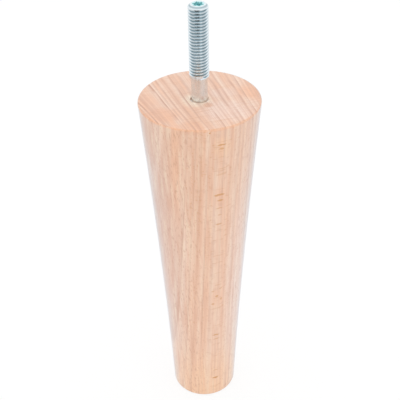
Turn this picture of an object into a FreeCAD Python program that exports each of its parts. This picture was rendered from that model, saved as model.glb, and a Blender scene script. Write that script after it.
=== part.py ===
"""Tapered turned-wood furniture leg with a steel hanger bolt in its top end.

The leg stands on its foot at the origin, +Z up. The bolt screws into a stepped hole in the wide
end: its coarse wood thread sits in the groove that it cut, and its machine-threaded stud stands
out above the top face. All sizes are in millimetres.
"""

import FreeCAD
import Part
import Sketcher
import math
import os

PARTS_FOLDER = "parts"

# Driving sizes: one spreadsheet cell each, named by its alias.
SIZES = {
    # Wooden leg
    "leg_height": 160.0,
    "top_diameter": 50.0,
    "foot_diameter": 30.0,
    "side_hollow": 0.85,
    "top_edge_round": 0.8,
    "foot_edge_round": 1.2,
    # Hanger bolt, from its free end to its point
    "stud_projection": 40.0,
    "stud_diameter": 8.0,
    "stud_thread_length": 30.0,
    "stud_end_chamfer": 0.9,
    "stud_runout": 0.6,
    "shank_diameter": 6.5,
    "shank_length": 13.0,
    "wood_thread_length": 27.0,
    "wood_thread_neck": 1.2,
    "wood_thread_diameter": 8.0,
    "wood_thread_core": 5.6,
    "wood_thread_pitch": 4.0,
    "wood_thread_angle": 60.0,
    "point_length": 7.6,
    "point_diameter": 1.5,
    # Six-lobe drive recess in the free end
    "drive_tip_diameter": 4.5,
    "drive_valley_diameter": 3.24,
    "drive_lobe_radius": 0.38,
    "drive_depth": 2.6,
    "drive_turn": 45.0,
    # Stepped hole in the leg, cut around the bolt
    "flare_width": 0.5,
    "flare_depth": 0.35,
    "shank_clearance": 0.05,
    "core_clearance": 0.2,
    "thread_clearance": 0.1,
    "thread_run_on": 1.5,
    "hole_spare_depth": 3.0,
    "drill_point_angle": 118.0,
}

DRIVE_LOBES = 6
# Sketcher's numbers for an edge's points, the sketch's origin and its level axis.
START, END, CENTRE = 1, 2, 3
ORIGIN = (-1, 1)
LEVEL_AXIS = -1
# How far a thread ridge's root reaches inside its core, so that the two fuse into one solid.
RIDGE_ROOT_DEPTH = 0.3
# How far an outline that trims the point stands outside the metal on it.
TRIM_MARGIN = 0.5

# Levels and radii worked out from the driving sizes, as expressions of the sheet's cells.
STUD_TOP = "(sizes.leg_height + sizes.stud_projection)"
STUD_END = f"({STUD_TOP} - sizes.stud_thread_length)"
SHANK_END = f"({STUD_END} - sizes.shank_length)"
POINT = f"({SHANK_END} - sizes.wood_thread_length)"
RIDGE_START = f"({POINT} + sizes.point_length / 2)"
HOLE_FLOOR = f"({POINT} - sizes.hole_spare_depth)"
TOP_RADIUS = "(sizes.top_diameter / 2)"
FOOT_RADIUS = "(sizes.foot_diameter / 2)"
SIDE_CHORD_SQUARED = f"(({TOP_RADIUS} - {FOOT_RADIUS})^2 + sizes.leg_height^2)"
SIDE_RADIUS = f"({SIDE_CHORD_SQUARED} / (8 * sizes.side_hollow) + sizes.side_hollow / 2)"
STUD_RADIUS = "(sizes.stud_diameter / 2)"
SHANK_RADIUS = "(sizes.shank_diameter / 2)"
CORE_RADIUS = "(sizes.wood_thread_core / 2)"
RIDGE_RADIUS = "(sizes.wood_thread_diameter / 2)"
RIDGE_SLOPE = "tan(sizes.wood_thread_angle / 2 * 1 deg)"
MOUTH_RADIUS = f"({SHANK_RADIUS} + sizes.shank_clearance)"
PILOT_RADIUS = f"({CORE_RADIUS} + sizes.core_clearance)"
DRIVE_TIP = "(sizes.drive_tip_diameter / 2)"
DRIVE_REACH = f"({DRIVE_TIP} - sizes.drive_lobe_radius)"
DRIVE_VALLEY_X = f"(sizes.drive_valley_diameter / 2 * cos(180 deg / {DRIVE_LOBES}))"
DRIVE_VALLEY_Y = f"(sizes.drive_valley_diameter / 2 * sin(180 deg / {DRIVE_LOBES}))"


def new_sheet(doc):
    """The spreadsheet of driving sizes."""
    sheet = doc.addObject("Spreadsheet::Sheet", "sizes")
    for row, (alias, value) in enumerate(SIZES.items(), start=1):
        sheet.set(f"A{row}", alias)
        sheet.set(f"B{row}", str(value))
        sheet.setAlias(f"B{row}", alias)
    doc.recompute()
    return sheet


def value_of(sheet, expression):
    """The number that an expression of the sheet's cells has now."""
    return float(sheet.evalExpression(expression))


def new_body(doc, label):
    body = doc.addObject("PartDesign::Body", label)
    body.Label = label
    return body


def new_sketch(body, name, plane_role):
    """A sketch on one of its own body's origin planes."""
    sketch = body.newObject("Sketcher::SketchObject", name)
    planes = [item for item in body.Origin.OriginFeatures if item.Role == plane_role]
    sketch.AttachmentSupport = [(planes[0], "")]
    sketch.MapMode = "FlatFace"
    return sketch


def bind(sketch, constraint, expression):
    """Adds a dimension and ties it to an expression of the sheet."""
    index = sketch.addConstraint(constraint)
    sketch.setExpression(f"Constraints[{index}]", expression)


def join(sketch, kind, *places):
    """Adds a constraint that has no size."""
    sketch.addConstraint(Sketcher.Constraint(kind, *places))


def place_point(sketch, sheet, edge, point, corner):
    """Fixes one point of an edge at a corner given by two expressions."""
    for kind, expression in zip(("DistanceX", "DistanceY"), corner):
        distance = value_of(sheet, expression)
        bind(sketch, Sketcher.Constraint(kind, *ORIGIN, edge, point, distance), expression)


def revolve_outline(body, sheet, name, corners):
    """A closed half outline of straight edges in the XZ plane."""
    sketch = new_sketch(body, name, "XZ_Plane")
    points = [
        FreeCAD.Vector(value_of(sheet, across), value_of(sheet, up), 0)
        for across, up in corners
    ]
    count = len(points)
    for edge in range(count):
        sketch.addGeometry(Part.LineSegment(points[edge], points[(edge + 1) % count]))
    for edge in range(count):
        join(sketch, "Coincident", edge, END, (edge + 1) % count, START)
    for edge, corner in enumerate(corners):
        place_point(sketch, sheet, edge, START, corner)
    return sketch


def turn(body, kind, name, sketch):
    """A full revolution or groove about the sketch's own vertical axis."""
    feature = body.newObject(kind, name)
    feature.Profile = sketch
    feature.ReferenceAxis = (sketch, ["V_Axis"])
    feature.Angle = 360
    return feature


def wood_thread(body, sheet, kind, name, gap, height):
    """The coarse, sharp thread as a helical ridge on the bolt, or as the groove that it cuts.

    gap is how far the outline stands outside the bolt's own ridge. Both helices start at the same
    place on the point, so they are in step.
    """
    root = f"({CORE_RADIUS} - {RIDGE_ROOT_DEPTH})"
    crest = f"({RIDGE_RADIUS} + {gap})"
    half_root = f"({crest} - {root}) * {RIDGE_SLOPE}"
    corners = [
        (root, f"{RIDGE_START} - {half_root}"),
        (crest, RIDGE_START),
        (root, f"{RIDGE_START} + {half_root}"),
    ]
    sketch = revolve_outline(body, sheet, f"{name}_outline", corners)
    helix = body.newObject(kind, name)
    helix.Profile = sketch
    helix.ReferenceAxis = (sketch, ["V_Axis"])
    helix.Mode = 0
    helix.setExpression("Pitch", "sizes.wood_thread_pitch")
    helix.setExpression("Height", height)
    return helix


def rim_round(centre, radius, first_angle):
    """A quarter round, turned counter-clockwise from its first angle in degrees."""
    circle = Part.Circle(centre, FreeCAD.Vector(0, 0, 1), radius)
    return Part.ArcOfCircle(circle, math.radians(first_angle), math.radians(first_angle + 90))


def taper_outline(body, sheet):
    """Half the leg's outline: two flat ends, a hollow side and a round at each rim.

    The side is an arc through the two sharp corners that the end diameters name. Its centre lies
    outside the leg, and it runs into each round with no corner.
    """
    height = value_of(sheet, "sizes.leg_height")
    top_round = value_of(sheet, "sizes.top_edge_round")
    foot_round = value_of(sheet, "sizes.foot_edge_round")
    top_corner = FreeCAD.Vector(value_of(sheet, TOP_RADIUS), height, 0)
    foot_corner = FreeCAD.Vector(value_of(sheet, FOOT_RADIUS), 0, 0)
    top_centre = top_corner - FreeCAD.Vector(top_round, top_round, 0)
    foot_centre = foot_corner + FreeCAD.Vector(-foot_round, foot_round, 0)
    chord = foot_corner - top_corner
    inward = FreeCAD.Vector(chord.y, -chord.x, 0).normalize()
    middle = (top_corner + foot_corner) / 2 + inward * value_of(sheet, "sizes.side_hollow")
    foot_centre_point = FreeCAD.Vector(0, 0, 0)
    top_centre_point = FreeCAD.Vector(0, height, 0)
    top_flat_end = FreeCAD.Vector(top_centre.x, height, 0)
    foot_flat_end = FreeCAD.Vector(foot_centre.x, 0, 0)

    sketch = new_sketch(body, "taper_outline", "XZ_Plane")
    axis = sketch.addGeometry(Part.LineSegment(foot_centre_point, top_centre_point))
    top = sketch.addGeometry(Part.LineSegment(top_centre_point, top_flat_end))
    top_rim = sketch.addGeometry(rim_round(top_centre, top_round, 0))
    side = sketch.addGeometry(Part.Arc(top_corner, middle, foot_corner))
    foot_rim = sketch.addGeometry(rim_round(foot_centre, foot_round, -90))
    foot = sketch.addGeometry(Part.LineSegment(foot_flat_end, foot_centre_point))
    top_mark = sketch.addGeometry(Part.Point(top_corner), True)
    foot_mark = sketch.addGeometry(Part.Point(foot_corner), True)

    join(sketch, "Coincident", axis, END, top, START)
    join(sketch, "Coincident", foot, END, axis, START)
    join(sketch, "Horizontal", top)
    join(sketch, "Horizontal", foot)
    join(sketch, "Tangent", top, END, top_rim, END)
    join(sketch, "Tangent", top_rim, START, side, START)
    join(sketch, "Tangent", side, END, foot_rim, END)
    join(sketch, "Tangent", foot_rim, START, foot, START)
    join(sketch, "PointOnObject", top_mark, START, side)
    join(sketch, "PointOnObject", foot_mark, START, side)
    place_point(sketch, sheet, axis, START, ("0", "0"))
    place_point(sketch, sheet, axis, END, ("0", "sizes.leg_height"))
    place_point(sketch, sheet, top_mark, START, (TOP_RADIUS, "sizes.leg_height"))
    place_point(sketch, sheet, foot_mark, START, (FOOT_RADIUS, "0"))
    for arc, radius in (
        (top_rim, "sizes.top_edge_round"),
        (foot_rim, "sizes.foot_edge_round"),
        (side, SIDE_RADIUS),
    ):
        bind(sketch, Sketcher.Constraint("Radius", arc, value_of(sheet, radius)), radius)
    return sketch


def build_leg(doc, sheet):
    """The leg: a turned taper with slightly hollow sides and a stepped, threaded blind hole."""
    body = new_body(doc, "wooden_leg")
    turn(body, "PartDesign::Revolution", "turned_taper", taper_outline(body, sheet))
    doc.recompute()

    drill_point = f"({PILOT_RADIUS} / tan(sizes.drill_point_angle / 2 * 1 deg))"
    flare_end = "(sizes.leg_height - sizes.flare_depth)"
    cuts = {
        "pilot_hole": [
            ("0", "sizes.leg_height"),
            (PILOT_RADIUS, "sizes.leg_height"),
            (PILOT_RADIUS, HOLE_FLOOR),
            ("0", f"{HOLE_FLOOR} - {drill_point}"),
        ],
        "shank_bore": [
            ("0", STUD_END),
            (MOUTH_RADIUS, STUD_END),
            (MOUTH_RADIUS, SHANK_END),
            ("0", SHANK_END),
        ],
        "flared_mouth": [
            ("0", "sizes.leg_height"),
            (f"{MOUTH_RADIUS} + sizes.flare_width", "sizes.leg_height"),
            (MOUTH_RADIUS, flare_end),
            ("0", flare_end),
        ],
    }
    for name, corners in cuts.items():
        outline = revolve_outline(body, sheet, f"{name}_outline", corners)
        turn(body, "PartDesign::Groove", name, outline)
        doc.recompute()
    # The bolt's thread cut its way in, so its groove comes out at the hole's mouth.
    cut = "PartDesign::SubtractiveHelix"
    rise = f"sizes.leg_height + sizes.thread_run_on - {RIDGE_START}"
    wood_thread(body, sheet, cut, "cut_thread", "sizes.thread_clearance", rise)
    return body


def drive_sector(body, sheet):
    """One sixth of the drive recess: a rounded lobe between two halves of the inward bulges."""
    tip = value_of(sheet, DRIVE_TIP)
    lobe = value_of(sheet, "sizes.drive_lobe_radius")
    reach = value_of(sheet, DRIVE_REACH)
    valley = FreeCAD.Vector(value_of(sheet, DRIVE_VALLEY_X), value_of(sheet, DRIVE_VALLEY_Y), 0)
    along = FreeCAD.Vector(valley).normalize()
    # A first guess at the bulge, whose arc meets the lobe's arc with no corner.
    bulge = (lobe**2 - reach**2 - valley.Length**2 + 2 * reach * valley.x) / (
        2 * (valley.Length - reach * along.x - lobe)
    )
    lobe_centre = FreeCAD.Vector(reach, 0, 0)
    bulge_centre = along * (valley.Length + bulge)
    meet = lobe_centre + (bulge_centre - lobe_centre).normalize() * lobe
    inner = bulge_centre + ((meet + valley) / 2 - bulge_centre).normalize() * bulge

    def mirrored(point):
        return FreeCAD.Vector(point.x, -point.y, 0)

    centre = FreeCAD.Vector(0, 0, 0)
    sketch = new_sketch(body, "drive_sector", "XY_Plane")
    lower_side = sketch.addGeometry(Part.LineSegment(centre, mirrored(valley)))
    lower_arc = sketch.addGeometry(Part.Arc(mirrored(meet), mirrored(inner), mirrored(valley)))
    lobe_arc = sketch.addGeometry(Part.Arc(mirrored(meet), FreeCAD.Vector(tip, 0, 0), meet))
    upper_arc = sketch.addGeometry(Part.Arc(valley, inner, meet))
    upper_side = sketch.addGeometry(Part.LineSegment(valley, centre))

    join(sketch, "Coincident", lower_side, START, *ORIGIN)
    join(sketch, "Coincident", upper_side, END, *ORIGIN)
    join(sketch, "Coincident", lower_side, END, lower_arc, END)
    join(sketch, "Coincident", upper_side, START, upper_arc, START)
    join(sketch, "Tangent", lower_arc, START, lobe_arc, START)
    join(sketch, "Tangent", lobe_arc, END, upper_arc, END)
    join(sketch, "PointOnObject", lower_arc, CENTRE, lower_side)
    join(sketch, "PointOnObject", upper_arc, CENTRE, upper_side)
    join(sketch, "Symmetric", lower_side, END, upper_side, START, LEVEL_AXIS)
    place_point(sketch, sheet, upper_side, START, (DRIVE_VALLEY_X, DRIVE_VALLEY_Y))
    place_point(sketch, sheet, lobe_arc, CENTRE, (DRIVE_REACH, "0"))
    bind(sketch, Sketcher.Constraint("Radius", lobe_arc, lobe), "sizes.drive_lobe_radius")
    sketch.setExpression("AttachmentOffset.Base.z", STUD_TOP)
    sketch.setExpression("AttachmentOffset.Rotation.Angle", "sizes.drive_turn * 1 deg")
    return sketch


def build_bolt(doc, sheet):
    """The hanger bolt: stud, plain shank and wood-threaded point, with a six-lobe drive."""
    body = new_body(doc, "hanger_bolt")
    turned = [
        ("0", STUD_TOP),
        ("0", POINT),
        (CORE_RADIUS, POINT),
        (CORE_RADIUS, SHANK_END),
        (SHANK_RADIUS, SHANK_END),
        (SHANK_RADIUS, f"{STUD_END} - sizes.stud_runout"),
        (STUD_RADIUS, STUD_END),
        (STUD_RADIUS, f"{STUD_TOP} - sizes.stud_end_chamfer"),
        (f"{STUD_RADIUS} - sizes.stud_end_chamfer", STUD_TOP),
    ]
    outline = revolve_outline(body, sheet, "bolt_outline", turned)
    turn(body, "PartDesign::Revolution", "turned_blank", outline)
    doc.recompute()
    rise = f"{SHANK_END} - sizes.wood_thread_neck - {RIDGE_START}"
    wood_thread(body, sheet, "PartDesign::AdditiveHelix", "wood_thread", "0", rise)
    doc.recompute()
    point_radius = "(sizes.point_diameter / 2)"
    outside = f"({RIDGE_RADIUS} + {TRIM_MARGIN})"
    below = f"{POINT} - {TRIM_MARGIN}"
    point = [
        (point_radius, POINT),
        (point_radius, below),
        (outside, below),
        (outside, f"{POINT} + sizes.point_length"),
    ]
    point_outline = revolve_outline(body, sheet, "point_outline", point)
    turn(body, "PartDesign::Groove", "tapered_point", point_outline)
    doc.recompute()

    sector = body.newObject("PartDesign::Pocket", "drive_lobe")
    sector.Profile = drive_sector(body, sheet)
    sector.Type = "Length"
    sector.setExpression("Length", "sizes.drive_depth")
    doc.recompute()
    recess = body.newObject("PartDesign::PolarPattern", "drive_recess")
    recess.Originals = [sector]
    recess.Axis = (sector.Profile[0], ["N_Axis"])
    recess.Angle = 360
    recess.Occurrences = DRIVE_LOBES
    body.Tip = recess
    return body


def check(doc, bodies):
    """Stops if a feature failed or a piece isn't one valid solid."""
    for item in doc.Objects:
        if "Invalid" in item.State or "Error" in item.State:
            raise RuntimeError(f"{item.Label} failed: {item.State}")
    for body in bodies:
        shape = body.Shape
        if shape.isNull() or not shape.isValid() or len(shape.Solids) != 1:
            raise RuntimeError(f"{body.Label} isn't one valid solid")


def main():
    doc = FreeCAD.newDocument("furniture_leg")
    sheet = new_sheet(doc)
    bodies = [build_leg(doc, sheet), build_bolt(doc, sheet)]
    doc.recompute()
    check(doc, bodies)
    os.makedirs(PARTS_FOLDER, exist_ok=True)
    for body in bodies:
        body.Shape.exportStep(os.path.join(PARTS_FOLDER, f"{body.Label}.step"))
        print(body.Label, "volume", round(body.Shape.Volume, 1), body.Shape.BoundBox)


main()
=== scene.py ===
# %% [markdown]
# # A tapered beech leg with a zinc-plated hanger bolt
# The real leg is one turned piece of beech, with a steel hanger bolt screwed into its wide end.
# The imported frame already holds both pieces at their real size. This lesson keeps the turned leg
# as it is, cuts the fine thread on the bolt, and gives both pieces their finish.

# %% Load the frame
import math

import bmesh
import bpy
import numpy as np
from mathutils import Matrix, Vector


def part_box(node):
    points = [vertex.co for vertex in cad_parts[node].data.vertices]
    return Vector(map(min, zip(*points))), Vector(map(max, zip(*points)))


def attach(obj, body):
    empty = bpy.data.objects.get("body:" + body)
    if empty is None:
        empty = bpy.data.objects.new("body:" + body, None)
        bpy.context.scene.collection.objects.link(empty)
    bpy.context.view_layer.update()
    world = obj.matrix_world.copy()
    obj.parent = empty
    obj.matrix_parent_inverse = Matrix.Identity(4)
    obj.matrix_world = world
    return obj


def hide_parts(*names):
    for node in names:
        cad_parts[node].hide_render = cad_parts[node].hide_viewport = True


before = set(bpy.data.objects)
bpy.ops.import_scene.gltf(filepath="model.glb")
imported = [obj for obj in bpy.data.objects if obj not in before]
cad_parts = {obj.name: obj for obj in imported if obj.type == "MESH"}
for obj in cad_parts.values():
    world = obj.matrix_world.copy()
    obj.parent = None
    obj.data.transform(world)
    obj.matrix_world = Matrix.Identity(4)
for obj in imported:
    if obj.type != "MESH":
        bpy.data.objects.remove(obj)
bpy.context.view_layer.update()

MM = 0.001
leg_low, leg_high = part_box("wooden_leg")
bolt_low, bolt_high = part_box("hanger_bolt")
print("leg height", round(leg_high.z / MM, 1), "mm, bolt top", round(bolt_high.z / MM, 1), "mm")

# %% [markdown]
# ## Sums on sockets
# A material is a chain of small sums, and long chains of nodes are hard to read. This class
# wraps one socket, so that a sum written in Python adds the node that works it out. Colours and
# vectors need their own kinds of node, because a Math node would turn a colour grey.

# %% A socket that takes part in sums
class Signal:
    """One output socket of a node tree, used in Python sums."""

    def __init__(self, socket):
        self.socket = socket

    def node(self, kind, settings=None, inputs=None, output=0):
        """Adds any node: its settings first, then its inputs, and gives one of its outputs."""
        tree = self.socket.id_data
        made = tree.nodes.new(kind)
        for name, value in (settings or {}).items():
            setattr(made, name, value)
        for key, value in (inputs or {}).items():
            if isinstance(value, Signal):
                tree.links.new(value.socket, made.inputs[key])
            else:
                made.inputs[key].default_value = value
        return Signal(made.outputs[output])

    def sum_with(self, operation, first, second):
        """A Math node on numbers, or a Vector Math node where either side is a vector."""
        sides = [side.socket.type for side in (first, second) if isinstance(side, Signal)]
        kind = "ShaderNodeVectorMath" if "VECTOR" in sides else "ShaderNodeMath"
        return self.node(kind, {"operation": operation}, {0: first, 1: second})

    def __add__(self, other):
        return self.sum_with("ADD", self, other)

    def __radd__(self, other):
        return self.sum_with("ADD", other, self)

    def __sub__(self, other):
        return self.sum_with("SUBTRACT", self, other)

    def __rsub__(self, other):
        return self.sum_with("SUBTRACT", other, self)

    def __mul__(self, other):
        return self.sum_with("MULTIPLY", self, other)

    def __rmul__(self, other):
        return self.sum_with("MULTIPLY", other, self)

    def __truediv__(self, other):
        return self.sum_with("DIVIDE", self, other)

    def __rtruediv__(self, other):
        return self.sum_with("DIVIDE", other, self)

    def dot(self, direction):
        """How far a vector reaches along a direction."""
        settings = {"operation": "DOT_PRODUCT"}
        return self.node("ShaderNodeVectorMath", settings, {0: self, 1: direction}, "Value")

    def step(self, low, high):
        """A soft step from 0 at low to 1 at high."""
        settings = {"interpolation_type": "SMOOTHSTEP"}
        inputs = {"Value": self, "From Min": low, "From Max": high}
        return self.node("ShaderNodeMapRange", settings, inputs, "Result")

    def between(self, low, high):
        """A number that is low where this mask is 0, and high where it is 1."""
        return low + self * (high - low)

    def blend(self, first, second):
        """The first colour where this mask is 0, and the second where it is 1."""
        # A Mix node has one set of sockets for each kind of value; these are the ones for colours.
        factor, colour_a, colour_b, colour_out = 0, 6, 7, 2
        inputs = {factor: self, colour_a: first, colour_b: second}
        return self.node("ShaderNodeMix", {"data_type": "RGBA"}, inputs, colour_out)


print("Signal adds a node for each sum")

# %% [markdown]
# ## Colours and materials
# Colours are written as a picture shows them, from 0 to 255, because that is how they are compared
# with a photograph. Shaders work with amounts of light, so one function turns the first into the
# second. A pattern's place is measured in the piece itself, so it stays put when the piece is moved.

# %% Colours as they look, and a new material
def looks(red, green, blue):
    """A colour as a picture shows it, from 0 to 255, in the linear values that shaders take."""
    values = [part / 255 for part in (red, green, blue)]
    linear = [v / 12.92 if v <= 0.04045 else ((v + 0.055) / 1.055) ** 2.4 for v in values]
    return (*linear, 1.0)


def new_material(name):
    """An empty material with its surface shader and the piece's own coordinates, in millimetres."""
    material = bpy.data.materials.new(name)
    material.use_nodes = True
    shader = material.node_tree.nodes["Principled BSDF"]
    coordinates = material.node_tree.nodes.new("ShaderNodeTexCoord")
    metres = Signal(coordinates.outputs["Object"])
    place = metres.node("ShaderNodeVectorMath", {"operation": "SCALE"}, {0: metres, "Scale": 1 / MM})
    return material, shader, place


def feed(shader, name, signal):
    """Links a signal to one of the shader's inputs."""
    shader.id_data.links.new(signal.socket, shader.inputs[name])


print("beige as written:", [round(part, 3) for part in looks(233, 196, 173)])

# %% [markdown]
# ## Beech, as a solid
# Beech is plain wood with three marks that tell it from others: soft growth layers, short golden
# flecks where its rays are cut along their length, and fine dark dashes where they are cut across.
# A flat picture of grain would not meet at the rim. Here the grain fills the whole solid instead,
# so the lines on the top face run down the sides where the same layers come out.

# %% Which way the wood grew
LAYER_TURN = math.radians(19.6)
LAYER_FAN = 213.0
GRAIN_LEAN = 0.019
through = Vector((math.cos(LAYER_TURN), math.sin(LAYER_TURN), 0))
within = Vector((math.sin(LAYER_TURN), -math.cos(LAYER_TURN), 0))
upward = Vector((0, 0, 1))
print("the layers face", [round(part, 2) for part in through], "and rays run the same way")

# %% [markdown]
# ### Noise with a grain
# Everything in wood is drawn out along the grain. Plain noise has round lumps, so each of the wood's
# three directions is first divided by the length that a lump has that way. Noise that follows the
# layers needs only their depth. A shift moves a noise along, so that no two are alike.

# %% Stretched noise
def grain_noise(axes, lengths, detail=0.0, shift=0.0):
    """Noise whose lumps have these lengths, in millimetres, through and within the layers and up."""
    across, along, up = (axis / length for axis, length in zip(axes, lengths))
    inputs = {"X": across + shift, "Y": along, "Z": up}
    place = across.node("ShaderNodeCombineXYZ", None, inputs)
    inputs = {"Vector": place, "Scale": 1.0, "Detail": detail, "Roughness": 0.5}
    return place.node("ShaderNodeTexNoise", None, inputs, "Fac")


def layer_noise(depth, length, detail=0.0, shift=0.0):
    """Noise that changes only with depth through the growth layers."""
    inputs = {"W": depth / length + shift, "Scale": 1.0, "Detail": detail, "Roughness": 0.55}
    return depth.node("ShaderNodeTexNoise", {"noise_dimensions": "1D"}, inputs, "Fac")


print("noise is stretched along the grain")

# %% [markdown]
# ### Growth layers
# Each year's wood starts pale and ends in a thin, darker line. A saw tooth that rises once in each
# layer gives that line its sharp outer edge and its soft inner one. The layers aren't equally
# thick, so a slow noise moves the teeth about, and each line has its own strength.

# %% Growth layers
LAYER_THICKNESS = 2.5
LAYER_DRIFT = 7.0
DRIFT_LENGTH = 7.0
STRENGTH_LENGTH = 1.7
SLOW_BEND = 1.6
SMALL_BEND = 0.7
SLOW_LUMPS = (26, 60, 190)
SMALL_LUMPS = (5, 14, 60)
BREAK_LUMPS = (1.5, 8, 45)
LINE_STARTS = (0.2, 0.8)
LINE_ENDS = (0.8, 1.0)
LEFT_TO_RIGHT = (-22, 8)


def growth_layers(axes):
    """The depth through the layers, and a mask of the dark line that ends each of them."""
    across, along, up = axes
    slow_bend = grain_noise(axes, SLOW_LUMPS) - 0.5
    small_bend = grain_noise(axes, SMALL_LUMPS, shift=3.1) - 0.5
    depth = across / (1 - along / LAYER_FAN) - up * GRAIN_LEAN
    depth = depth + slow_bend * SLOW_BEND + small_bend * SMALL_BEND
    drift = layer_noise(depth, DRIFT_LENGTH, shift=19.0) * LAYER_DRIFT
    count = (depth + drift) / LAYER_THICKNESS
    year = count.node("ShaderNodeMath", {"operation": "FRACT"}, {0: count})
    number = count.node("ShaderNodeMath", {"operation": "FLOOR"}, {0: count})
    strength = layer_noise(number, STRENGTH_LENGTH, shift=11.6).step(0.3, 0.7)
    whole = grain_noise(axes, BREAK_LUMPS, shift=7.7).step(0.3, 0.65)
    line = year.step(*LINE_STARTS) * (1 - year.step(*LINE_ENDS))
    line = line * strength.between(0.25, 1.0) * whole.between(0.35, 1.0)
    return depth, line * across.step(*LEFT_TO_RIGHT).between(1.4, 0.9)


print("about", round((leg_high.x - leg_low.x) / MM / LAYER_THICKNESS), "layers across the top")

# %% [markdown]
# ### Flecks
# The rays are thin ribbons that run through the layers, level with the ground. Where the turned
# surface follows them, a little to the right of the front, they show as level golden dashes in one
# upright row. The plainest of those are listed one by one, each by its height, its place across
# that row, its half length, its half thickness and its strength. The many small ones are noise.

# %% Flecks listed one by one
FLECKS = (
    (158.7, -4.8, 0.35, 0.35, 0.9),
    (152.4, 0.0, 1.7, 0.45, 0.8),
    (150.6, 0.1, 1.2, 0.40, 0.6),
    (127.6, -0.2, 2.3, 0.55, 0.75),
    (124.6, 0.2, 1.5, 0.35, 0.65),
    (120.6, 0.0, 1.6, 0.30, 0.5),
    (116.8, 0.2, 1.0, 0.30, 0.45),
    (111.8, -0.1, 1.4, 0.35, 0.6),
    (73.4, 1.6, 0.7, 0.35, 0.4),
    (72.4, -2.0, 0.7, 0.50, 0.45),
    (69.0, 0.0, 0.8, 0.55, 0.65),
    (66.6, 2.0, 0.5, 0.90, 0.5),
    (64.4, -1.8, 0.9, 0.50, 0.6),
    (43.4, 0.0, 1.8, 0.45, 0.75),
    (40.6, 0.1, 1.4, 0.35, 0.5),
    (18.2, 0.2, 1.4, 0.30, 0.45),
    (12.6, 0.0, 1.5, 0.65, 0.95),
)
WOBBLE_LUMPS = (1.1, 9.0, 0.9)
WOBBLE_UP = 0.7
WOBBLE_ACROSS = 0.8
FLECK_EDGE = (0.25, 1.6)
FRONT_SIDE = (0.0, 4.0)


def large_flecks(axes):
    """A mask of the listed dashes, on the front side only."""
    across, along, up = axes
    wobble = grain_noise(axes, WOBBLE_LUMPS, shift=4.4) - 0.5
    total = 0.0
    for height, place, half_length, half_thickness, strength in FLECKS:
        rise = (up + wobble * WOBBLE_UP - height) / half_thickness
        reach = (across + wobble * WOBBLE_ACROSS - place) / half_length
        away = rise * rise + reach * reach
        total = total + (1 - away.step(*FLECK_EDGE)) * strength
    return total * along.step(*FRONT_SIDE)


print(len(FLECKS), "flecks placed by hand")

# %% [markdown]
# ### Warm and pale places, and painted light
# One plank is seldom one colour: this leg is more orange along its front and paler at its right. A
# painted picture could show that, but only from one side. Here each such place is a soft ball in
# the wood, given by its centre and its reach along X, Y and Z in millimetres, its strength and its
# colour. Two balls are painted light rather than wood: the golden one round the foot is painted
# bounce light from the paper, and the cream one round the bolt is pale wood with painted light over
# the shade in the hole's mouth.

# %% Warm and pale places, and painted light
ORANGE = looks(242, 180, 138)
DEEP_ORANGE = looks(224, 168, 130)
# golden is a tone of the wood, and round the foot it is also painted bounce light from the paper
GOLDEN_AND_PAINTED_BOUNCE = looks(254, 208, 164)
# cream is partly the pale wood round the bolt and partly painted light over the shade in the hole's
# mouth
PALE_RING_AND_PAINTED_LIGHT = looks(255, 236, 212)
BLUSH = looks(244, 220, 208)
MAUVE = looks(208, 176, 168)
PLACES = (
    ((-15, -13, 160), (10, 8, 2.5), 0.6, ORANGE),
    ((-22, -2, 160), (7, 9, 2.0), 0.3, ORANGE),
    ((-3, -22, 160), (7, 6, 3.0), 0.45, ORANGE),
    ((20, 5, 160), (7, 7, 2.0), 0.5, ORANGE),
    ((-3.5, -20, 140), (7, 12, 46), 0.28, DEEP_ORANGE),
    ((8, -22, 151), (5, 7, 7), 0.35, GOLDEN_AND_PAINTED_BOUNCE),
    ((7, -20, 126), (4, 6, 8), 0.25, ORANGE),
    ((6, -17, 68), (4, 6, 8), 0.25, ORANGE),
    # painted light: a golden glow round the foot, standing in for light bounced up from the paper
    ((0, 0, 0), (32, 32, 46), 0.6, GOLDEN_AND_PAINTED_BOUNCE),
    ((-15, -6, 22), (7, 10, 24), 0.35, ORANGE),
    ((10, -10, 160), (14, 11, 2.0), 0.55, BLUSH),
    ((9, 4, 160), (8, 6, 2.0), 0.4, BLUSH),
    # partly painted light: pale wood round the bolt, lifted further over the shade in the hole's
    # mouth
    ((-1.2, -1.2, 160), (7.5, 7.5, 2.0), 1.0, PALE_RING_AND_PAINTED_LIGHT),
    ((3.2, -5.4, 160), (2.8, 2.4, 2.0), 0.7, DEEP_ORANGE),
    ((-19, -12, 95), (16, 16, 90), 0.34, MAUVE),
    ((23, -6, 95), (9, 12, 95), 0.25, MAUVE),
    ((-21, -11, 150), (7, 9, 16), 0.45, DEEP_ORANGE),
    ((18, -12, 75), (13, 14, 75), 0.5, BLUSH),
)
PLACE_EDGE = (0.4, 1.0)


def warm_pale_and_painted_light(place, colour):
    """Tints a colour in the soft places, two of which are painted light."""
    for centre, reach, strength, tint in PLACES:
        offset = (place - centre) / reach
        away = offset.node("ShaderNodeVectorMath", {"operation": "LENGTH"}, {0: offset}, "Value")
        colour = ((1 - away.step(*PLACE_EDGE)) * strength).blend(colour, tint)
    return colour


print(len(PLACES), "soft places")

# %% [markdown]
# ### Layers and their lines
# Sanded beech without varnish shows all its colours at once. One ramp could hold them, but then none
# could change alone, so each is laid over the last with its own mask, as thin washes of paint are:
# first the pale and warm layers, then the line at each layer's end. The sawn end drinks more, so
# its lines are darker and its rounded rim is orange. The flat-cut left side shows hardly any.

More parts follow.
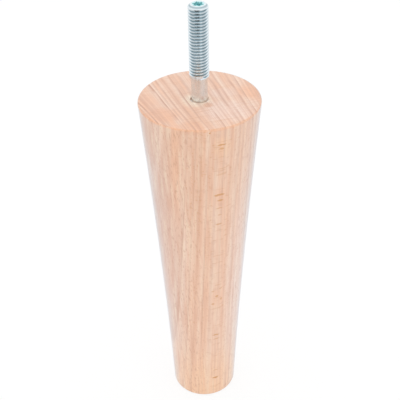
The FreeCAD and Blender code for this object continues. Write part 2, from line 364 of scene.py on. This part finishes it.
# %% Layers and their lines
PALE_LAYER = looks(244, 213, 191)
WARM_LAYER = looks(238, 195, 167)
ORANGE_TINT = looks(241, 188, 152)
LATE_LINE = looks(202, 150, 124)
BROAD_LAYER = 4.6
FINE_LAYER = 0.8
TINT_LUMPS = (3.5, 13, 110)
TINT_STRENGTH = 0.6
RIM_STARTS = (0.1, 0.4)
RIM_ENDS = (0.85, 0.99)
RIM_STRENGTH = 0.42
FLAT_CUT_SIDE = (-24, -17)


def layered_wood(place, axes, tilt, end_grain):
    """The colour of the layers, their warm and pale places with painted light, the rim and the lines.
    """
    depth, late = growth_layers(axes)
    broad = layer_noise(depth, BROAD_LAYER, detail=1.0, shift=9.2)
    colour = broad.step(0.32, 0.68).blend(PALE_LAYER, WARM_LAYER)
    tint = grain_noise(axes, TINT_LUMPS, detail=1.0, shift=5.4).step(0.42, 0.72)
    colour = (tint * TINT_STRENGTH).blend(colour, ORANGE_TINT)
    colour = warm_pale_and_painted_light(place, colour)
    rim = tilt.step(*RIM_STARTS) * (1 - tilt.step(*RIM_ENDS))
    colour = (rim * RIM_STRENGTH).blend(colour, ORANGE)
    flat_cut = (1 - axes[0].step(*FLAT_CUT_SIDE)) * (1 - end_grain)
    late = late * end_grain.between(0.46, 0.8) * flat_cut.between(1.0, 0.3)
    colour = late.blend(colour, LATE_LINE)
    fine = layer_noise(depth, FINE_LAYER, detail=1.0, shift=11.0).step(0.4, 0.7)
    return (fine * end_grain.between(0.1, 0.32)).blend(colour, LATE_LINE)


print("bands about", BROAD_LAYER, "mm broad, fine lines about", FINE_LAYER, "mm apart")

# %% [markdown]
# ### Streaks and fibres
# Along the grain the wood has thin pink and pale streaks, and in them finer fibres. Both are noise
# with lumps as thin as a streak and many times as long. The streaks are left out on the sawn end,
# where the same noise would show as spots. The fibres also make the surface a little uneven, so
# their noise is handed on.

# %% Streaks and fibres
PINK_STREAK = looks(222, 170, 140)
PALE_STREAK = looks(244, 218, 192)
FIBRE = looks(222, 174, 148)
STREAK_LUMPS = (1.1, 1.3, 70)
STREAKY_SIDE = (-16, 0)
FIBRE_LUMPS = (0.35, 0.5, 13)
FIBRE_STRENGTH = 0.4


def streaky_wood(colour, axes, end_grain):
    """Lays streaks and fibres over a colour, and gives the fibres' noise as well."""
    streaks = grain_noise(axes, STREAK_LUMPS, detail=1.0, shift=8.3)
    strength = (1 - end_grain) * axes[0].step(*STREAKY_SIDE).between(0.52, 0.3)
    colour = (streaks.step(0.48, 0.72) * strength).blend(colour, PINK_STREAK)
    colour = ((1 - streaks.step(0.28, 0.52)) * strength).blend(colour, PALE_STREAK)
    fibres = grain_noise(axes, FIBRE_LUMPS, detail=2.0, shift=5.9)
    return (fibres.step(0.42, 0.75) * FIBRE_STRENGTH).blend(colour, FIBRE), fibres


print("streaks about", STREAK_LUMPS[2], "mm long, fibres about", FIBRE_LUMPS[2], "mm")

# %% [markdown]
# ### Small rays
# Where the turned surface crosses the rays, their ends show as short dark dashes along the grain.
# Where it follows them, they show as thin golden ones. Which of the two a place has follows from
# how far its surface faces through the layers, so no side needs to be marked by hand.

# %% Small rays
RAY_FLECK = looks(210, 146, 82)
RAY_END = looks(196, 138, 108)
END_LUMPS = (2.4, 0.42, 2.4)
RAY_LUMPS = (12, 0.3, 0.7)
RAY_STRENGTH = 0.28


def wood_with_rays(colour, axes, facing):
    """Lays ray ends, small rays and the flecks over a colour, and gives the ends' mask as well."""
    faces_through = facing.dot(through)
    cut_across = (faces_through * faces_through).step(0.04, 0.4)
    ends = grain_noise(axes, END_LUMPS, shift=2.2).step(0.61, 0.74)
    colour = (ends * cut_across.between(0.12, 0.38)).blend(colour, RAY_END)
    rays = grain_noise(axes, RAY_LUMPS, shift=6.4).step(0.66, 0.75)
    colour = (rays * RAY_STRENGTH).blend(colour, RAY_FLECK)
    return large_flecks(axes).blend(colour, RAY_FLECK), ends


print("ray ends about", END_LUMPS[2], "mm long")

# %% [markdown]
# ### The sanded surface
# Sanding leaves a dull surface with a faint dust in its fibres, which looks cool and pale where it
# is seen along. That is what a shader's sheen is for, so it isn't painted. A bump of a few hundredths
# of a millimetre, from the fibres and the ray ends, keeps the light from lying too evenly.

# %% The beech finish
COOL_DUST = looks(222, 242, 255)
END_GRAIN_TILT = (0.6, 0.9)
WOOD_ROUGHNESS = 0.5
FIBRE_ROUGHNESS = 0.16
BUMP_STRENGTH = 0.12
BUMP_DISTANCE = 0.05 * MM


def beech():
    """Sanded, unvarnished beech."""
    material, shader, place = new_material("sanded_beech")
    axes = tuple(place.dot(axis) for axis in (through, within, upward))
    facing = Signal(place.socket.id_data.nodes["Texture Coordinate"].outputs["Normal"])
    tilt = facing.dot(upward)
    end_grain = tilt.step(*END_GRAIN_TILT)
    colour = layered_wood(place, axes, tilt, end_grain)
    colour, fibres = streaky_wood(colour, axes, end_grain)
    colour, ends = wood_with_rays(colour, axes, facing)
    feed(shader, "Base Color", colour)

    shader.inputs["Sheen Weight"].default_value = 1.0
    shader.inputs["Sheen Roughness"].default_value = 0.4
    shader.inputs["Sheen Tint"].default_value = COOL_DUST
    feed(shader, "Roughness", WOOD_ROUGHNESS + fibres * FIBRE_ROUGHNESS)
    height = fibres * 0.6 - ends * 0.4
    inputs = {"Height": height, "Strength": BUMP_STRENGTH, "Distance": BUMP_DISTANCE}
    feed(shader, "Normal", height.node("ShaderNodeBump", None, inputs))
    return material


wooden_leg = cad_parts["wooden_leg"]
wooden_leg.data.materials.clear()
wooden_leg.data.materials.append(beech())
print("the leg's mesh has", len(wooden_leg.data.polygons), "faces")

# %% [markdown]
# ## Zinc plating
# The bolt is steel with a thin, bright coat of zinc, which mirrors a little softly. Down in the
# thread the coat is a darker grey, which is painted shade in the grooves, and the blue-green film
# that is left by the last bath is thickest in the recess. All three are one metal shader, whose
# colour changes with the distance from the bolt's axis and the height.

# %% The zinc finish
ZINC_LIGHT = looks(235, 243, 248)
ZINC_DULL = looks(227, 237, 242)
# painted shade: a darker grey laid in the thread's grooves
ZINC_ROOT_SHADE = looks(178, 196, 203)
BATH_FILM = looks(205, 244, 246)
CLOUD_SCALE = 0.9
THREAD_FOOT = (170.2, 170.8)
ROOT_SHADE_DEPTHS = (3.4, 3.85)
ROOT_SHADE_INSIDE = (3.1, 3.15)
RECESS_RIM = (2.3, 2.4)
RECESS_BOTTOM = (196.0, 196.5)
BRIGHT_ROUGHNESS = 0.14
CLOUD_ROUGHNESS = 0.07
FILM_ROUGHNESS = 0.35


def zinc():
    """Bright zinc plating with a faint cloudiness, painted shade in the thread and blue in the
    recess.
    """
    material, shader, place = new_material("zinc_plating")
    shader.inputs["Metallic"].default_value = 1.0
    inputs = {"Vector": place, "Scale": CLOUD_SCALE, "Detail": 3.0}
    cloud = place.node("ShaderNodeTexNoise", None, inputs, "Fac")
    level = place.node("ShaderNodeVectorMath", {"operation": "MULTIPLY"}, {0: place, 1: (1, 1, 0)})
    radius = level.node("ShaderNodeVectorMath", {"operation": "LENGTH"}, {0: level}, "Value")
    height = place.dot(upward)
    threaded = height.step(*THREAD_FOOT)
    # mask of the painted shade down in the thread's grooves
    root = threaded * (1 - radius.step(*ROOT_SHADE_DEPTHS)) * radius.step(*ROOT_SHADE_INSIDE)
    recessed = height.step(*RECESS_BOTTOM) * (1 - radius.step(*RECESS_RIM))
    colour = cloud.step(0.35, 0.7).blend(ZINC_LIGHT, ZINC_DULL)
    colour = root.blend(colour, ZINC_ROOT_SHADE)
    colour = recessed.blend(colour, BATH_FILM)
    feed(shader, "Base Color", colour)
    roughness = BRIGHT_ROUGHNESS + cloud * CLOUD_ROUGHNESS + recessed * FILM_ROUGHNESS
    feed(shader, "Roughness", roughness)
    return material


zinc_plating = zinc()
print("zinc plating has", len(zinc_plating.node_tree.nodes), "nodes")

# %% [markdown]
# ## The bolt as a stack of rings
# From its point to its drive recess the bolt is round, apart from its threads and its six lobes,
# so every part of it can be drawn as rings of the same number of columns, one ring above the
# next. On a thread each ring climbs by one pitch in a turn, so its first and last columns meet
# those of the rings one turn away, and the crests follow the mesh's own lines.

# %% Rings and where they stand
COLUMNS = 144
turn = np.linspace(0, 1, COLUMNS + 1)
stud_top = bolt_high.z / MM
point_end = bolt_low.z / MM
wood_top = leg_high.z / MM


def ring(radius, height):
    """A level or climbing ring, as a radius and a height for each column, in millimetres."""
    return np.broadcast_to(radius, turn.shape), np.broadcast_to(height, turn.shape)


def soft_step(value, low, high):
    """A soft step from 0 at low to 1 at high."""
    part = np.clip((value - low) / (high - low), 0, 1)
    return part * part * (3 - 2 * part)


def climbing_rings(radius_at, pitch, start, bottom, top, places):
    """Rings that follow a thread: places are the parts of a pitch at which each turn has a ring."""
    made = []
    first = math.floor((bottom - start) / pitch) - 2
    last = math.ceil((top - start) / pitch) + 1
    for number in range(first, last):
        for place in places:
            height = np.clip(start + pitch * (number + place + turn), bottom, top)
            made.append((radius_at(turn, height), height))
    return made


print("columns", COLUMNS, "from", round(point_end, 1), "to", round(stud_top, 1), "mm")

# %% [markdown]
# ### The coarse wood thread
# Inside the wood the bolt has a coarse thread: one sharp ridge, wound round a thin core and trimmed
# to a cone at the point. It could be swept along a helix and joined to the core, but a join of two
# meshes often leaves stray faces. Here the ridge is only a larger radius.

# %% The coarse wood thread
CORE_RADIUS = 2.8
WOOD_RIDGE = 4.0
WOOD_PITCH = 4.0
WOOD_THREAD_TOP = 157.0
WOOD_THREAD_NECK = 1.2
POINT_RADIUS = 0.75
POINT_LENGTH = 7.6
POINT_SPREAD = 4.5
RIDGE_FLANK = math.tan(math.radians(30))
ridge_start = point_end + POINT_LENGTH / 2
ridge_end = WOOD_THREAD_TOP - WOOD_THREAD_NECK


def wood_thread_radius(turn, height):
    """A sharp ridge round the core, trimmed to a cone at the point."""
    turns_up = (height - ridge_start) / WOOD_PITCH - turn
    nearest = np.round(turns_up)
    from_crest = np.abs(turns_up - nearest) * WOOD_PITCH
    crest_height = ridge_start + WOOD_PITCH * (nearest + turn)
    cut = (crest_height >= ridge_start) & (crest_height <= ridge_end)
    ridge = np.where(cut, WOOD_RIDGE - from_crest / RIDGE_FLANK, CORE_RADIUS)
    cone = POINT_RADIUS + (POINT_SPREAD - POINT_RADIUS) * (height - point_end) / POINT_LENGTH
    return np.minimum(np.maximum(CORE_RADIUS, ridge), cone)


wood_places = (0, 0.1, 0.2, 0.5, 0.8, 0.9)
wood_rings = climbing_rings(
    wood_thread_radius, WOOD_PITCH, ridge_start, point_end, WOOD_THREAD_TOP, wood_places
)
print("wood thread:", len(wood_rings), "rings")

# %% [markdown]
# ### The machine thread
# The stud has a standard thread, a groove that is 0.74 mm deep and climbs 1.25 mm in a turn. A bump
# would show its lines, but not its notched outline, so it is cut as real shape. The groove fades out
# in the last part of a turn above the plain shank, and just under the chamfered free end.

# %% The machine thread
STUD_RADIUS = 4.0
STUD_PITCH = 1.25
STUD_LENGTH = 30.0
GROOVE_DEPTH = 0.74
ROOT_HALF = 0.10
CREST_HALF = 0.13
END_CHAMFER = 0.9
END_FADE = 0.5
GROOVE_START = 171.13
GROOVE_END_TURN = -0.24
GROOVE_FADE_TURN = 0.12
thread_bottom = stud_top - STUD_LENGTH


def machine_thread_radius(turn, height):
    """A groove round the stud that fades out at its lower end, under a chamfered free end."""
    turns_up = (height - GROOVE_START) / STUD_PITCH - turn
    nearest = np.round(turns_up)
    from_root = np.abs(turns_up - nearest) * STUD_PITCH
    flank = STUD_PITCH / 2 - ROOT_HALF - CREST_HALF
    depth = GROOVE_DEPTH * (1 - np.clip((from_root - ROOT_HALF) / flank, 0, 1))
    along_groove = nearest + turn
    depth = depth * soft_step(along_groove, GROOVE_END_TURN, GROOVE_END_TURN + GROOVE_FADE_TURN)
    depth = depth * soft_step(stud_top - height, END_CHAMFER, END_CHAMFER + END_FADE)
    chamfer = STUD_RADIUS - np.maximum(0, height - (stud_top - END_CHAMFER))
    return np.minimum(STUD_RADIUS - depth, chamfer)


root_edge = ROOT_HALF / STUD_PITCH
crest_edge = 0.5 - CREST_HALF / STUD_PITCH
flank_places = np.linspace(root_edge, crest_edge, 4)
stud_places = (0, *flank_places, 0.5, *(1 - flank_places[::-1]))
stud_rings = climbing_rings(
    machine_thread_radius, STUD_PITCH, GROOVE_START, thread_bottom, stud_top, stud_places
)
print("machine thread:", len(stud_rings), "rings")

# %% [markdown]
# ### The six-lobe recess
# The free end has a recess for a six-lobe key. Its outline is six small arcs joined by six larger
# ones, with no corner where they meet. Cutting it out with a boolean would leave long thin faces.
# Here the recess is a few more rings, whose radius follows the outline.

# %% The six-lobe recess
LOBES = 6
LOBE_TIP = 2.25
LOBE_VALLEY = 1.62
LOBE_ROUND = 0.38
LOBE_TURN = math.radians(45)
RECESS_DEPTH = 2.6
RECESS_FLOOR_DROP = 0.5
RECESS_EDGE = 0.07
half_sector = math.pi / LOBES
lobe_reach = LOBE_TIP - LOBE_ROUND
level_reach = lobe_reach * math.cos(half_sector)
bulge = LOBE_ROUND**2 - lobe_reach**2 - LOBE_VALLEY**2 + 2 * level_reach * LOBE_VALLEY
bulge /= 2 * (LOBE_VALLEY - level_reach - LOBE_ROUND)
bulge_reach = LOBE_VALLEY + bulge


def lobe_radius():
    """The recess's outline: round lobes that run into round bulges with no corner."""
    angle = turn * 2 * math.pi - LOBE_TURN
    from_lobe = np.abs((angle + half_sector) % (2 * half_sector) - half_sector)
    lobe_centre = np.array([lobe_reach, 0])
    bulge_centre = np.array([math.cos(half_sector), math.sin(half_sector)]) * bulge_reach
    to_bulge = bulge_centre - lobe_centre
    meet = lobe_centre + to_bulge / np.linalg.norm(to_bulge) * LOBE_ROUND
    inside = np.maximum(0, LOBE_ROUND**2 - (lobe_reach * np.sin(from_lobe)) ** 2)
    lobe = lobe_reach * np.cos(from_lobe) + np.sqrt(inside)
    from_bulge = half_sector - from_lobe
    beyond = np.maximum(0, bulge**2 - (bulge_reach * np.sin(from_bulge)) ** 2)
    valley = bulge_reach * np.cos(from_bulge) - np.sqrt(beyond)
    return np.where(from_lobe < math.atan2(meet[1], meet[0]), lobe, valley)


recess = lobe_radius()
print("recess from", round(recess.min(), 2), "to", round(recess.max(), 2), "mm from the axis")

# %% [markdown]
# ### One closed bolt
# The rings are stacked from the point up and joined by four-sided faces. Where rings fall together
# their points are merged, so the mesh is closed, which its count of open edges shows. Edges sharper
# than the crease angle stay sharp, and the rest are shaded smooth.

# %% Join the rings into one closed bolt
SHANK_RADIUS = 3.25
STUD_RUNOUT = 0.6
plain_rings = [
    ring(SHANK_RADIUS, WOOD_THREAD_TOP),
    ring(SHANK_RADIUS, wood_top),
    ring(SHANK_RADIUS, thread_bottom - STUD_RUNOUT),
]
recess_rings = [
    ring(recess + RECESS_EDGE, stud_top),
    ring(recess, stud_top - RECESS_EDGE),
    ring(recess, stud_top - RECESS_DEPTH),
    ring(0.0, stud_top - RECESS_DEPTH - RECESS_FLOOR_DROP),
]
all_rings = [ring(0.0, point_end), *wood_rings, *plain_rings, *stud_rings, *recess_rings]
MERGE_DISTANCE = 0.001 * MM


def mesh_of_rings(name, rings):
    """One closed mesh from rings: columns at the seam, and rings that fall together, are merged."""
    radius = np.array([r for r, _ in rings]) * MM
    height = np.array([h for _, h in rings]) * MM
    angle = turn * 2 * math.pi
    points = np.stack([radius * np.cos(angle), radius * np.sin(angle), height], axis=-1)
    first = np.arange(len(rings) - 1)[:, None] * len(turn) + np.arange(COLUMNS)
    corners = np.stack([first, first + 1, first + len(turn) + 1, first + len(turn)], axis=-1)
    mesh = bpy.data.meshes.new(name)
    mesh.from_pydata(points.reshape(-1, 3).tolist(), [], corners.reshape(-1, 4).tolist())
    work = bmesh.new()
    work.from_mesh(mesh)
    bmesh.ops.remove_doubles(work, verts=work.verts, dist=MERGE_DISTANCE)
    bmesh.ops.dissolve_degenerate(work, edges=work.edges, dist=MERGE_DISTANCE)
    bmesh.ops.recalc_face_normals(work, faces=work.faces)
    open_edges = sum(1 for edge in work.edges if len(edge.link_faces) != 2)
    work.to_mesh(mesh)
    work.free()
    print(name, len(mesh.polygons), "faces,", open_edges, "open edges")
    return mesh


CREASE = math.radians(24)
bolt_mesh = mesh_of_rings("threaded_bolt", all_rings)
bolt_mesh.shade_smooth()
bolt_mesh.set_sharp_from_angle(angle=CREASE)
bolt_mesh.materials.append(zinc_plating)
threaded_bolt = bpy.data.objects.new("threaded_bolt", bolt_mesh)
bpy.context.scene.collection.objects.link(threaded_bolt)
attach(threaded_bolt, "root")
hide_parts("hanger_bolt")

# %% [markdown]
# ## Floor and light
# The leg stands on a strip of plain white paper in a white studio. Light comes from pale walls all
# round and a soft lamp overhead. Two places aren't white, as in most studios: the floor past the
# paper is grey, and the room behind the camera is dark. They light nothing, but the metal mirrors
# them, which gives the stud its grey sides and dark middle. The paper keeps a faint shadow.

# %% Rays that look at the room
def sightlines(tree):
    """Masks of the rays from the camera, and of those in mirrors and glass."""
    path = tree.nodes.new("ShaderNodeLightPath")
    names = ("Is Camera Ray", "Is Glossy Ray", "Is Transmission Ray")
    camera_ray, glossy_ray, transmission_ray = (Signal(path.outputs[name]) for name in names)
    inputs = {0: glossy_ray, 1: transmission_ray}
    mirror_ray = glossy_ray.node("ShaderNodeMath", {"operation": "MAXIMUM"}, inputs)
    return camera_ray, mirror_ray * (1 - camera_ray)


print("the camera and mirrors look at the room, and other rays light it")

# %% [markdown]
# ### The paper
# The paper is a flat sheet. A rendered sheet is never quite white, so it also glows for rays that
# come from the camera or a mirror. Rays that only carry light meet plain paper, so it brightens the
# wood from below as real paper does.

# %% The floor
PAPER_HALF = 0.2
PAPER_FRONT = 0.37
PAPER_BACK = 3.0
FLOOR_WHITE = looks(248, 248, 248)
FLOOR_GLOW = 0.85


def white_paper():
    """White paper: it takes the leg's shadow, and looks white to the camera."""
    material = bpy.data.materials.new("white_paper")
    material.use_nodes = True
    tree = material.node_tree
    paper = tree.nodes["Principled BSDF"]
    paper.inputs["Base Color"].default_value = FLOOR_WHITE
    paper.inputs["Roughness"].default_value = 0.9
    camera_ray, mirror_ray = sightlines(tree)
    glow = tree.nodes.new("ShaderNodeEmission")
    mix = tree.nodes.new("ShaderNodeMixShader")
    tree.links.new(((camera_ray + mirror_ray) * FLOOR_GLOW).socket, mix.inputs[0])
    tree.links.new(paper.outputs[0], mix.inputs[1])
    tree.links.new(glow.outputs[0], mix.inputs[2])
    tree.links.new(mix.outputs[0], tree.nodes["Material Output"].inputs["Surface"])
    return material


floor_mesh = bpy.data.meshes.new("floor")
left_front = (-PAPER_HALF, -PAPER_FRONT, 0)
right_front = (PAPER_HALF, -PAPER_FRONT, 0)
right_back = (PAPER_HALF, PAPER_BACK, 0)
left_back = (-PAPER_HALF, PAPER_BACK, 0)
floor_mesh.from_pydata([left_front, right_front, right_back, left_back], [], [(0, 1, 2, 3)])
floor_mesh.materials.append(white_paper())
floor = bpy.data.objects.new("floor", floor_mesh)
bpy.context.scene.collection.objects.link(floor)
print("paper", 2 * PAPER_HALF, "m wide, from", PAPER_FRONT, "m in front of the leg")

# %% [markdown]
# ### The walls
# The studio is far larger than the leg, so it is painted on the world around it instead of being
# built. What it shows depends on who looks: light gets the walls and the lamp, the camera gets plain
# white, and mirrors get white with the two darker places.

# %% The studio's walls
WALL_LIGHT = 0.894
LAMP_LIGHT = 0.4
DARK_LEVEL = 0.03
GREY_DEPTH = 0.3
room_way = Vector((-0.2, -0.93, -0.2)).normalized()
ROOM_CORE = math.cos(math.radians(14))
ROOM_EDGE = math.cos(math.radians(40))
ROOM_HEIGHTS = (-0.52, -0.4)
GREY_HEIGHTS = (-0.45, -0.15)
LAMP_HEIGHTS = (0.2, 1.0)

world = bpy.data.worlds.new("studio")
world.use_nodes = True
bpy.context.scene.world = world
tree = world.node_tree
direction = Signal(tree.nodes.new("ShaderNodeTexCoord").outputs["Generated"])
rise = direction.dot(upward)
dark_room = direction.dot(room_way).step(ROOM_EDGE, ROOM_CORE) * rise.step(*ROOM_HEIGHTS)
grey_floor = (1 - rise.step(*GREY_HEIGHTS)) * (1 - dark_room) * GREY_DEPTH
mirrored = 1 - dark_room * (1 - DARK_LEVEL) - grey_floor
light = WALL_LIGHT + rise.step(*LAMP_HEIGHTS) * LAMP_LIGHT
camera_ray, mirror_ray = sightlines(tree)
strength = light + camera_ray * (1 - light) + mirror_ray * (mirrored - light)
walls = tree.nodes["Background"]
walls.inputs["Color"].default_value = (1, 1, 1, 1)
tree.links.new(strength.socket, walls.inputs["Strength"])
print("walls", WALL_LIGHT, "lamp", LAMP_LIGHT, "dark room", DARK_LEVEL)

# %% [markdown]
# ## The camera
# The camera looks down at the leg from close by, so the top face shows and the leg narrows more
# than it does in truth. Its place was worked out from the leg's outline in the photograph.

# %% Place the camera
CAMERA_DISTANCE = 361.0 * MM
CAMERA_TARGET = Vector((0, 0, 109.7 * MM))
CAMERA_PITCH = math.radians(36.09)
CAMERA_ROLL = math.radians(1.01)
FOCAL_PIXELS = 828.0
PICTURE_PIXELS = 400.0
SIDE_SHIFT_PIXELS = 1.4

ahead = Vector((0, math.cos(CAMERA_PITCH), -math.sin(CAMERA_PITCH)))
right = Matrix.Rotation(CAMERA_ROLL, 3, ahead) @ Vector((1, 0, 0))
above = right.cross(ahead)
turned = Matrix((right, above, -ahead)).transposed().to_4x4()

lens = bpy.data.cameras.new("camera")
lens.sensor_width = 36.0
lens.lens = lens.sensor_width * FOCAL_PIXELS / PICTURE_PIXELS
lens.shift_x = -SIDE_SHIFT_PIXELS / PICTURE_PIXELS
lens.clip_start = 0.01
camera = bpy.data.objects.new("camera", lens)
camera.matrix_world = Matrix.Translation(CAMERA_TARGET - ahead * CAMERA_DISTANCE) @ turned
bpy.context.scene.collection.objects.link(camera)
bpy.context.scene.camera = camera
bpy.context.scene.view_settings.view_transform = "Standard"
print("camera at", [round(part, 3) for part in camera.matrix_world.translation])
